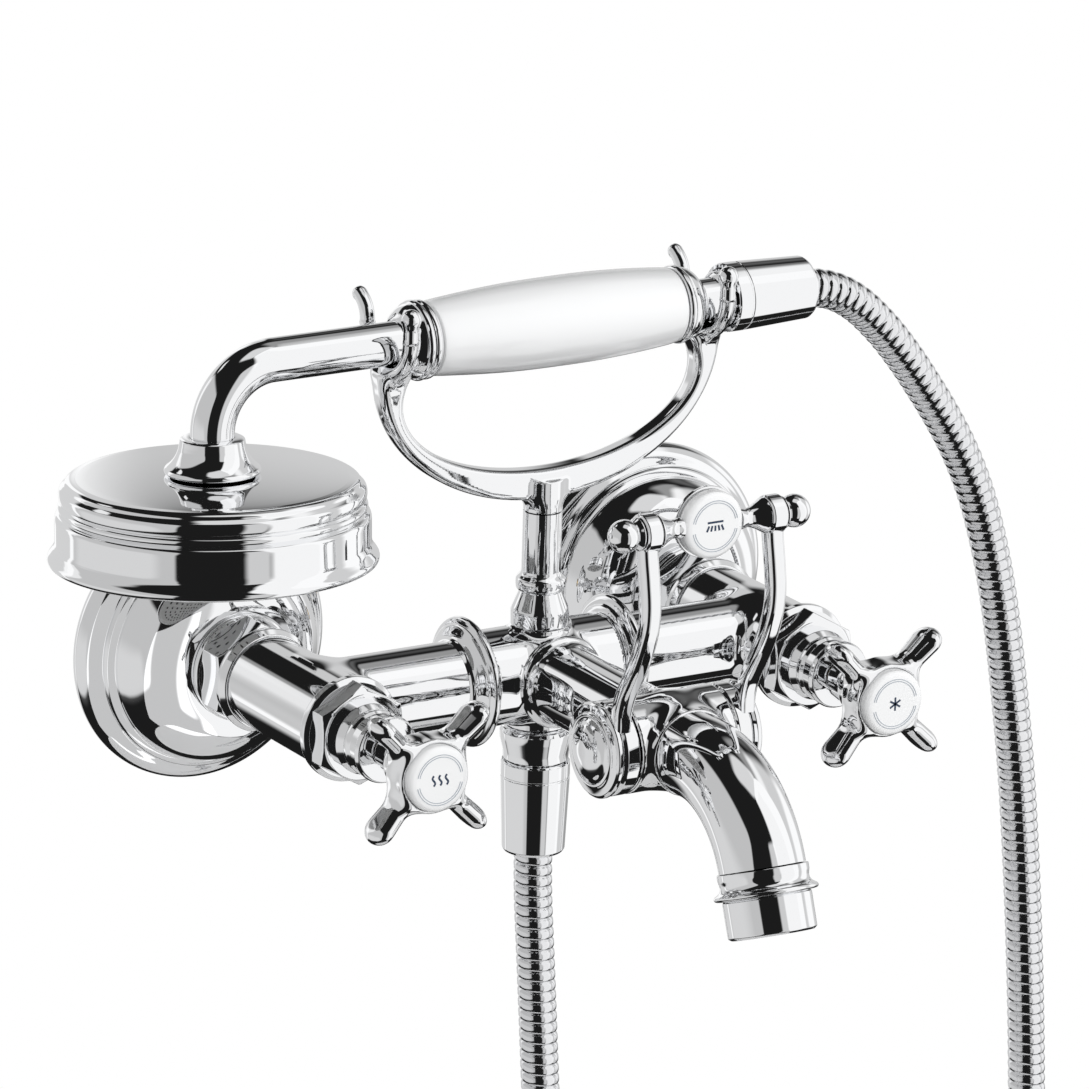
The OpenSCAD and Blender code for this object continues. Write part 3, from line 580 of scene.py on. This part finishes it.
# ---- body ----
def mixer_body():
    """The casting of bar, barrels, neck and diverter drum, with its turned collars and rings."""
    def field(x, y, z):
        out, along = -y, np.abs(x)
        bar = np.hypot(out - BAR_OUT, z) - 15.4
        bar = np.maximum(bar, along - HALF)
        middle = rod_field(out - BAR_OUT, z, x, 17.5, -26.6, 26.6, 0.8)
        f = np.minimum(bar, middle)
        barrel = rod_field(along - HALF, z, out, 17, 56.7, 112, 0.7)
        f = smin(f, barrel, 5)
        neck = rod_field(x, z, out, 14.5, BAR_OUT, BARREL_OUT, 0)
        f = smin(f, neck, 4.5)
        drum = rod_field(out - BARREL_OUT, z, x, 17, -19.5, 19.5, 0.7)
        boss = rod_field(x, z, out, 15.9, BARREL_OUT, 191.2, 0.5)
        f = smin(f, smin(drum, boss, 4.5), 4.5)
        seat = rod_field(x, out - BAR_OUT, z, 10.6, 0, 17.7, 0.3)
        f = smin(f, seat, 2.2)
        foot = rod_field(x, out - BAR_OUT, z, 11.6, -20, 0, 0.3)
        f = smin(f, foot, 2.2)
        barrel_bore = np.hypot(along - HALF, z) - 8 + 4 * (out > 80)
        foot_bore = np.hypot(x, out - BAR_OUT) + FAR * (z > -15) - 8.2
        drum_bore = np.hypot(out - BARREL_OUT, z) - 9 + FAR * (along < 17)
        return smax(f, -np.minimum(np.minimum(barrel_bore, foot_bore), drum_bore), 0.3)

    cast("mixer_body", field, (-111.2, -192, -20.2), (111.2, -56.5, 18), 0.95, "body", ("mixer_body",))
    collar = [(14.5, 26.6)] + soft([(17.3, 26.6), (18.6, 26.8), (19.6, 27.3), (20.1, 28.2)], 5) \
        + soft([(20.3, 28.5), (21.6, 28.6), (22.9, 29.2), (23.6, 30.3), (23.3, 31.5), (22.2, 32.2)], 6) \
        + soft([(21.4, 32.5), (20.6, 33.2), (19, 34), (17.2, 34.9), (16, 36), (15.45, 37.6)], 5) + [(14.5, 37.6)]
    tail = [(8, 50.8), (13, 50.8), (13, 57), (8, 57)]
    for sign, word, flip in ((-1, "hot", turn("X", 180)), (1, "cold", Matrix.Identity(4))):
        lathe("body_collar_" + word, collar, across(BAR_OUT, 0) @ flip, "body", segments=128)
        lathe("valve_tail_" + word, tail, on_valve(sign), "body")
    ring = [(13, 101)] + soft([(16.9, 101), (17.2, 102.6), (16.7, 104), (15.6, 105), (14.9, 106.6), (14.5, 109)], 5) \
        + [(13, 109)]
    lathe("neck_ring", ring, ON_MIDDLE, "body")


mixer_body()


# ---- pillar and cradle ----
pillar = rounded([(4.9, 17.8), (10.5, 17.8, 0.4), (10.6, 22.6, 0.9)], 0.4) \
    + soft([(10.2, 24), (9.2, 26.4), (8.3, 28.6), (7.7, 30.2)], 5) \
    + soft([(8.3, 30.7), (8.9, 31.5), (9.1, 33.2), (8.9, 34.9), (8.2, 35.8)], 5) \
    + soft([(7.7, 36.2), (7.3, 36.8), (7.1, 38)], 4) + [(7.1, 60), (4.9, 60)]
lathe("cradle_pillar", pillar, ON_PILLAR, "body", ("cradle_pillar",))


def ellipse(x, z, half_x, half_z):
    """Roughly the distance from an ellipse round the origin, negative inside it."""
    reach = np.hypot(x / half_x, z / half_z)
    return (reach - 1) * (1 / np.maximum(np.hypot(x / half_x**2, z / half_z**2) / np.maximum(reach, 1e-6), 1e-6))


def cradle():
    """The horned cradle: a crescent on its stem, and a round-bar fork at each horn."""
    prong, wire, back_wire = 15.1, 2.75, 2.65
    saddle = HAND_UP - PIPE_R + prong - back_wire - 0.3
    curl_out, curl_up, curl_r, curl_stop = 24.1, 134.6, 9, 112
    tip_out = curl_out + curl_r * math.cos(math.radians(curl_stop))
    tip_up = curl_up + curl_r * math.sin(math.radians(curl_stop))

    def field(x, y, z):
        y = y + BAR_OUT
        inner, outer = ellipse(x, z - 107.2, 60.6, 31), ellipse(x, z - 118, 70.4, 53)
        plane = smax(smax(-inner, outer, 3.0), np.abs(y) - 4.6, 3.2)
        plane = smax(plane, z - 119.5, 1.5)
        stem = rod_field(x, y, z, 7.1, 60.2, 72, 0.3)
        f = smin(plane, stem, 4)
        ax = np.abs(x) - FORK_X
        ring = np.hypot(np.hypot(y, z - saddle) - prong, ax) - wire
        ring = smax(ring, z - saddle, 0.3)
        f = smin(f, ring, 5)
        front = np.hypot(y + prong, ax) - wire
        front = np.maximum(front, np.maximum(saddle - z, z - 142.3))
        ball = np.sqrt((y + prong) ** 2 + ax**2 + (z - 142.5) ** 2) - 3.6
        back = np.hypot(y - prong, ax) - back_wire
        back = np.maximum(back, np.maximum(saddle - z, z - 134.8))
        curl = np.hypot(np.hypot(y - curl_out, z - curl_up) - curl_r, ax) - back_wire
        angle = np.degrees(np.arctan2(z - curl_up, y - curl_out))
        curl = np.where((angle > curl_stop) & (angle <= 181), curl, 9)
        tip = np.sqrt((y - tip_out) ** 2 + ax**2 + (z - tip_up) ** 2) - wire
        fork = np.minimum(smin(front, ball, 1.6), np.minimum(back, smin(curl, tip, 0.3)))
        return smin(f, fork, 1.0)

    cast("cradle", field, (-71, -106, 60), (71, -63, 147.6), 0.8, "body", ("cradle",))


cradle()


# ---- shower outlet and hose nuts ----
outlet = [(6.5, -20)] + rounded([(11, -20, 0.3), (12.7, -20.8, 0.5), (13.3, -22.2, 1), (13.1, -25.2, 2), (11.9, -30, 2),
                                 (11.8, -32.8, 0.3), (10.48, -32.8, 0), (10.48, -45, 0.3), (6.5, -45, 0)], 0.4)
lathe("shower_outlet", outlet, ON_PILLAR, "body", ("shower_outlet",))


def spring():
    """The check valve's spring, built as one fixed coil; on the real valve it shortens by 2 mm as the valve opens."""
    turns, r, wire, top, length = 6, 2.5, 0.32, -31.45, 9.1
    angles = np.linspace(0, 2 * math.pi * turns, turns * 24)
    line = [(r * math.cos(t), -BAR_OUT + r * math.sin(t), top - length * k / (len(angles) - 1))
            for k, t in enumerate(angles)]
    made = sweep("check_spring_coil", line, lambda i, s: circle(wire, 10), "body", ("check_spring",), STEEL,
                 up=(0, 0, 1))
    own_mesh(made)


spring()


def hose_nut(name, place, body):
    """The cone nut at the hose's end, with a fine groove near its mouth."""
    outline = [(10.9, 0)] + rounded([(12.1, 0, 0.3), (12.5, 0.5, 0.4), (12.5, 5.4, 0.2), (12.3, 5.6, 0), (12.3, 6.1, 0),
                                     (12.5, 6.3, 0.2), (11.4, 33.2, 0.5), (10.8, 34.2, 0.4), (8.2, 34.4, 0.4),
                                     (7.1, 34.4, 0)], 0.4)
    outline += [(7.1, 15.8), (10.9, 15.8)]
    lathe(name, outline, place, body, (name,))


ON_LOWER_NUT = ON_PILLAR @ shift(0, 0, -33.6) @ turn("X", 180)
ON_UPPER_NUT = ON_HAND @ shift(0, 0, 73.1)
hose_nut("hose_nut_lower", ON_LOWER_NUT, "lower_hose_nut")
hose_nut("hose_nut_upper", ON_UPPER_NUT, "upper_hose_nut")


# ---- hand shower ----
def handset_pipe():
    """The tube from the grip round its elbow to the head's collar."""
    bend_r = 24
    bend = arc(-HEAD_X + bend_r, -bend_r, bend_r, 90, 180, 40)
    line = [(x, 0, 0) for x in np.linspace(-52, -HEAD_X + bend_r + 2, 12)] + [(x, 0, z) for x, z in bend] \
        + [(-HEAD_X, 0, z) for z in np.linspace(-bend_r - 1, -37, 6)]
    sweep("handset_pipe", line, lambda i, s: circle(PIPE_R, 64), "hand_shower", ("handset_pipe",), place=LEAN)


handset_pipe()
collar = [(7.9, 24.6)] + rounded([(10.2, 24.6, 0.3), (11.4, 25.2, 0.6), (11.6, 26.6, 0.6)], 0.4) \
    + soft([(11.75, 27.4), (12.1, 29), (12.9, 31), (14.2, 33), (15.8, 34.6), (16.6, 35.2)], 6) \
    + soft([(16.9, 35.7), (17, 36.3), (16.6, 37), (15.6, 37.4), (14.4, 37.6)], 5) + [(7.9, 37.7)]
lathe("head_collar", collar, ON_HEAD, "hand_shower", ("head_collar",))
shell = [(6.2, 37.8), (14, 37.82), (22, 37.95), (30, 38.1), (38, 38.35), (44, 38.6)] \
    + soft([(47.5, 38.8), (50, 39.2), (51.4, 40), (52, 41.2)], 6) \
    + soft([(52.6, 41.7), (53.5, 42.6), (53.8, 44.4), (53.5, 46.2), (52.8, 47)], 6) \
    + soft([(52.9, 47.3), (53.8, 48), (54.1, 49), (53.8, 50), (53.3, 50.5)], 6) \
    + soft([(53.7, 50.9), (54.7, 51.5), (55.2, 52.6), (55.3, 54)], 5) + [(55.3, 61)] \
    + soft([(55.4, 62), (55.8, 63.4), (56.8, 65), (57.8, 66.4), (58, 67.4), (57.6, 68.4), (56.6, 68.9)], 6) \
    + [(55.5, 69), (53.6, 69), (53.5, 53), (51.4, 48), (50, 42), (48, 40.4), (6.2, 39.4)]
lathe("head_shell", shell, ON_HEAD, "hand_shower", ("head_shell",), segments=192)

left = [(7.85, -62.6)] \
    + soft([(8.6, -62.6), (9.3, -62.3), (10.6, -61.3), (12.1, -59.6), (13, -57.9), (13.4, -56.8)], 6) \
    + soft([(13.8, -56.6), (14.3, -55.9), (14.4, -55.2), (14.1, -54.4), (13.5, -54)], 5) \
    + soft([(13.6, -53.8), (14.1, -53.2), (14.2, -52.4), (13.9, -51.5), (13.2, -50.7)], 5) + [(7.85, -50.5)]
lathe("ferrule_left", left, ON_HAND, "hand_shower", ("ferrule_left",))
grip = [(6.2, -50.3), (12.3, -50.3)] \
    + soft([(12.9, -50), (13.4, -48.9), (14.1, -42), (15.2, -28), (15.9, -14), (16.1, 2), (16, 16), (15.4, 30),
            (14.5, 42), (13.7, 49.4), (13.1, 50.9)], 8) + [(12.4, 51.2), (6.2, 51.2)]
lathe("handset_grip", grip, ON_HAND, "hand_shower", ("handset_grip",), PORCELAIN, segments=128)
right = [(6.1, 51.4)] + soft([(13.2, 51.4), (13.9, 51.9), (14.2, 52.9), (13.9, 53.9), (13.5, 54.3)], 5) \
    + soft([(13.5, 54.8), (13.2, 56.2), (12.4, 58), (11, 59.6), (9.6, 60.7), (8.5, 61.3)], 6) + [(6.1, 61.3)]
lathe("ferrule_right", right, ON_HAND, "hand_shower", ("ferrule_right",))
tail = [(4.4, 61.4)] + soft([(8.4, 61.4), (7.9, 61.9), (7.8, 62.8)], 4) + [(7.8, 68.6)] \
    + soft([(7.9, 69), (8.9, 69.3), (9.7, 70), (9.8, 71), (9.5, 71.9), (9.2, 72.3)], 5) \
    + [(10.48, 72.3), (10.48, 84.5), (4.4, 84.5)]
lathe("handset_tail", tail, ON_HAND, "hand_shower", ("handset_tail",))


# ---- spout ----
def spout():
    """The bent tube, the flared ring at its end and the aerator's housing."""
    line = [(0, -d, 0) for d in np.linspace(190.6, SPOUT_BEND_OUT - 1, 6)]
    line += [(0, -(SPOUT_BEND_OUT + SPOUT_BEND * math.sin(t)), -SPOUT_BEND * (1 - math.cos(t)))
             for t in map(math.radians, np.linspace(0, SPOUT_TURN, 48))]
    sweep("spout_tube", line, lambda i, s: circle(15.3, 96), "body", ("spout_tube", "spout_shank"), up=(1, 0, 0))
    ring = [(11, -0.2)] + rounded([(15.5, -0.2, 0.2), (16.1, 0.4, 0.4), (16.1, 2.4, 1)], 0.4)[1:] \
        + soft([(15.9, 3.2), (15.65, 4.6), (15.85, 5.8), (16.6, 6.8), (17.5, 7.4)], 5) \
        + soft([(18.1, 7.8), (18.4, 8.5), (18.1, 9.2), (17.4, 9.5), (16.2, 9.6)], 5) + [(11, 9.6)]
    lathe("spout_ring", ring, ON_SPOUT_END, "body", ("spout_ring",), segments=128)
    housing = [(12.9, 9.7)] + rounded([(15.2, 9.7, 0.2), (15.7, 10.2, 0.4), (15.65, 22.6, 0.8), (14.6, 23.4, 0.4),
                                       (11.2, 23.4, 0.3), (11.2, 16, 0)], 0.3)
    lathe("aerator_housing", housing, ON_SPOUT_END, "body", ("aerator_housing",), segments=128)


spout()


# ---- diverter ----
def lever():
    """The stirrup lever: hub rings, two forged arms, the cross bar with its collars and balls, and the disc's seat."""
    arm_x, half_w, corner = 25.6, 3.3, 2
    line = soft([(184, 10), (184.2, 16), (186.4, 23), (190.4, 30), (194.4, 37), (197.8, 44.5), (200.2, 52), (200.8, 60),
                 (199.6, 68.5), (197.9, 77), (LEVER_OUT, LEVER_UP)], 8)
    path = [(arm_x, -d, z) for d, z in line]
    hub = [(5.05, 19.9)] + rounded([(16, 19.9, 0.4), (16.9, 20.8, 0.7), (16.9, 25.5, 0.9), (15.9, 26.7, 0.4),
                                    (5.05, 26.7, 0)], 0.4)
    ring = [(2.6, 22.4)] + rounded([(6.2, 22.4, 0.3), (6.9, 23, 0.6), (6.9, 28, 0.7), (6.1, 28.6, 0.3),
                                    (2.6, 28.6, 0)], 0.3)
    trumpet = [(0, 11.8), (3.7, 11.8), (3.7, 12.4)] \
        + soft([(3.5, 13.4), (3.3, 14.6), (3.5, 16.2), (4.3, 18.2), (5.4, 20.2), (6.1, 21.4)], 6) \
        + [(6.3, 21.9), (6, 22.3), (2.5, 22.3), (2.5, 31), (0, 31)]
    ball = [(0, 28.8)] + rounded([(5.5, 28.8, 0.3), (6, 29.5, 0.5), (5.1, 30.5, 0.4)], 0.4) \
        + arc(0, 34.6, 5.9, -42, 90, 28)[1:-1] + [(0, 40.5)]
    cap = [(5.1, 26.9)] + rounded([(16.3, 26.9, 0.4), (17.2, 27.8, 0.7), (17.2, 29.2, 0.8), (16.2, 30, 0.6),
                                   (14, 30.3, 0.5)], 0.4) \
        + soft([(13.4, 30.7), (12.9, 31.2), (12.1, 31.3)], 3) \
        + soft([(11.6, 31), (10.6, 31.6), (9, 32.9), (6.6, 33.9), (3.6, 34.4), (0, 34.5)], 6)

    def section(i, share):
        """The arm's cross-section, which thickens a little towards the cross bar."""
        half_d = 3 + 0.5 * share
        points = []
        for cx, cy, start in ((half_w - corner, half_d - corner, 0), (-half_w + corner, half_d - corner, 90),
                              (-half_w + corner, -half_d + corner, 180), (half_w - corner, -half_d + corner, 270)):
            for t in (0, 22, 45, 68, 90):
                a = math.radians(start + t)
                points.append((cx + corner * math.cos(a), cy + corner * math.sin(a)))
        return points

    for word, flip in (("right", Matrix.Identity(4)), ("left", MIRROR_X)):
        barrel, bar = flip @ across(BARREL_OUT, 0), flip @ across(LEVER_OUT, LEVER_UP)
        lathe(f"lever_hub_{word}", hub, barrel, "diverter_lever", ("lever_arms",), segments=128)
        sweep(f"lever_arm_{word}", path, section, "diverter_lever", ("lever_arms",), up=(0, -1, 0), place=flip)
        lathe(f"lever_ring_{word}", ring, bar, "diverter_lever", ("lever_arms",))
        lathe(f"lever_trumpet_{word}", trumpet, bar, "diverter_lever", ("lever_crossbar",), segments=64)
        lathe(f"lever_ball_{word}", ball, bar, "diverter_lever", ("lever_balls",), segments=64)
        lathe(f"diverter_cap_{word}", cap, barrel, "diverter_lever", ("diverter_caps",), segments=128)
    seat = [(0, 186)] + soft([(3.6, 186.2), (7, 187.6), (9.4, 189.8), (10.5, 192), (11.6, 193.2)], 6) \
        + rounded([(12.8, 193.6, 0.4), (12.9, 194.9, 0.4), (12, 195.1, 0), (0, 195.1)], 0.3)
    on_bar = shift(0, 0, LEVER_UP) @ ON_MIDDLE
    lathe("lever_disc_seat", seat, on_bar, "diverter_lever", ("lever_crossbar",))
    index_disc("index_disc_shower", on_bar, "diverter_lever", 200.6, spray_sign())


lever()


# ---- camera, floor and light ----
def compass(azimuth, elevation):
    """The direction towards an azimuth and elevation, azimuth 0 being the faucet's front and 90 its cold side."""
    a, e = math.radians(azimuth), math.radians(elevation)
    return Vector((math.sin(a) * math.cos(e), -math.cos(a) * math.cos(e), math.sin(e)))


def camera():
    """The photo's camera: its direction, its small roll and its distance from the faucet's middle."""
    azimuth, roll, distance = math.radians(-31.68), math.radians(1.68), 3.1287
    back = compass(-31.68, 17.26)
    right = Vector((math.cos(azimuth), math.sin(azimuth), 0))
    up = back.cross(right)
    across_picture = right * math.cos(roll) + up * math.sin(roll)
    up_picture = -right * math.sin(roll) + up * math.cos(roll)
    data = bpy.data.cameras.new("camera")
    data.sensor_width = 36
    data.lens = 289.46
    data.clip_end = 50
    obj = bpy.data.objects.new("camera", data)
    place = Vector((0.00064, -0.0875, 0.0472)) + back * distance
    obj.matrix_world = Matrix((
        (across_picture.x, up_picture.x, back.x, place.x),
        (across_picture.y, up_picture.y, back.y, place.y),
        (across_picture.z, up_picture.z, back.z, place.z),
        (0, 0, 0, 1),
    ))
    bpy.context.scene.collection.objects.link(obj)
    bpy.context.scene.camera = obj


camera()

scene = bpy.context.scene
scene.view_settings.view_transform = "Standard"
world = bpy.data.worlds.new("studio")
scene.world = world
world.use_nodes = True
nodes, links = world.node_tree.nodes, world.node_tree.links
nodes.clear()
output = nodes.new("ShaderNodeOutputWorld")
background = nodes.new("ShaderNodeBackground")
links.new(background.outputs["Background"], output.inputs["Surface"])


def calc(operation, *values):
    node = nodes.new("ShaderNodeMath")
    node.operation = operation
    for k, value in enumerate(values):
        if isinstance(value, (int, float)):
            node.inputs[k].default_value = value
        else:
            links.new(value, node.inputs[k])
    return node.outputs[0]


direction = nodes.new("ShaderNodeTexCoord").outputs["Generated"]


def along(vector):
    node = nodes.new("ShaderNodeVectorMath")
    node.operation = "DOT_PRODUCT"
    links.new(direction, node.inputs[0])
    node.inputs[1].default_value = vector
    return node.outputs["Value"]


def panel(azimuth, elevation, wide, tall, light, edge, corner):
    """A soft box seen in that direction: half sizes wide and tall at a distance of 1, with rounded corners."""
    c = compass(azimuth, elevation)
    u = Vector((math.cos(math.radians(azimuth)), math.sin(math.radians(azimuth)), 0))
    v = u.cross(c) * -1
    ahead = calc("MAXIMUM", along(c), 0.001)
    a = calc("MAXIMUM", calc("SUBTRACT", calc("ABSOLUTE", calc("DIVIDE", along(u), ahead)), wide - corner), 0)
    b = calc("MAXIMUM", calc("SUBTRACT", calc("ABSOLUTE", calc("DIVIDE", along(v), ahead)), tall - corner), 0)
    far = calc("SQRT", calc("ADD", calc("MULTIPLY", a, a), calc("MULTIPLY", b, b)))
    share = calc("DIVIDE", calc("SUBTRACT", corner, far), edge)
    node = nodes.new("ShaderNodeMapRange")
    node.interpolation_type = "SMOOTHSTEP"
    links.new(share, node.inputs["Value"])
    node.inputs["To Max"].default_value = light
    return node.outputs["Result"]


AMBIENT, BRIGHTEST = 0.012, 1.03
total = calc("ADD", AMBIENT, 0)
# azimuth, elevation, half width, half height, light, edge, corner
for lamp in [
    (40, 8, 0.56, 1.9, 0.96, 0.12, 0.25),
    (4, -2, 0.21, 0.8, 0.62, 0.1, 0.12),
    (161, 6, 0.16, 0.55, 0.6, 0.05, 0.1),
    (-154, 14, 0.16, 0.3, 0.3, 0.05, 0.08),
    (82, 12, 0.62, 1.3, 0.64, 0.3, 0.35),
    (95, 60, 0.55, 0.25, 0.3, 0.15, 0.2),
    (118, 0, 0.95, 0.55, 0.62, 0.34, 0.4),
    (132, 32, 0.3, 0.2, 0.1, 0.2, 0.2),
    (40, 82, 0.32, 0.32, 0.7, 0.1, 0.2),
    (-106, 2, 1.28, 0.93, 0.54, 0.14, 0.3),
    (-108, -20, 0.9, 0.5, 0.14, 0.3, 0.4),
    (-176, -3, 0.5, 0.58, 0.66, 0.1, 0.2),
    (-157, 41, 0.14, 0.09, 0.85, 0.04, 0.06),
]:
    total = calc("ADD", total, panel(*lamp))
ray = nodes.new("ShaderNodeLightPath").outputs["Is Camera Ray"]
shade = calc("MAXIMUM", calc("MINIMUM", total, BRIGHTEST), ray)
background.inputs["Color"].default_value = (1, 1, 1, 1)
links.new(shade, background.inputs["Strength"])


def fill(name, azimuth, elevation, strength):
    """A broad light for the glazed and enamelled parts, kept out of the chrome's reflections."""
    data = bpy.data.lights.new(name, "SUN")
    data.energy = strength
    data.angle = math.radians(70)
    obj = bpy.data.objects.new(name, data)
    obj.rotation_euler = compass(azimuth, elevation).to_track_quat("Z", "Y").to_euler()
    obj.visible_glossy = False
    bpy.context.scene.collection.objects.link(obj)


fill("fill_left", -40, 35, 1.4)
fill("fill_right", 30, 10, 1.1)


def card():
    """A soft card that only the hot side's bell sees, in front of it and low."""
    data = bpy.data.lights.new("bell_card", "AREA")
    data.shape = "RECTANGLE"
    data.size, data.size_y = 0.95, 1.3
    data.energy = 2.2
    obj = bpy.data.objects.new("bell_card", data)
    ahead = compass(-28, -26)
    obj.location = Vector((-0.094, -0.03, 0)) + ahead * 0.6
    obj.rotation_euler = ahead.to_track_quat("Z", "Y").to_euler()
    obj.visible_camera = False
    bpy.context.scene.collection.objects.link(obj)
    seen = bpy.data.collections.new("bell_card_sees")
    seen.objects.link(bells["hot"])
    obj.light_linking.receiver_collection = seen


card()


def floor():
    """A round pale floor below the hose's loop."""
    radius, out, up, sides = 0.42, -0.09, -0.75, 96
    angles = np.linspace(0, 2 * math.pi, sides + 1)[:-1]
    rim = [(radius * math.cos(t), out + radius * math.sin(t), up) for t in angles]
    mesh = bpy.data.meshes.new("floor")
    mesh.from_pydata([(0, out, up)] + rim, [], [(0, k + 1, (k + 1) % sides + 1) for k in range(sides)])
    obj = bpy.data.objects.new("floor", mesh)
    mesh.materials.append(material("floor_paint", (0.8, 0.8, 0.8), roughness=0.7))
    bpy.context.scene.collection.objects.link(obj)
    obj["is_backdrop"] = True


floor()

outline = json.loads(json.dumps([[list(v) for v in cad_box], [list(v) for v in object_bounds()]]))
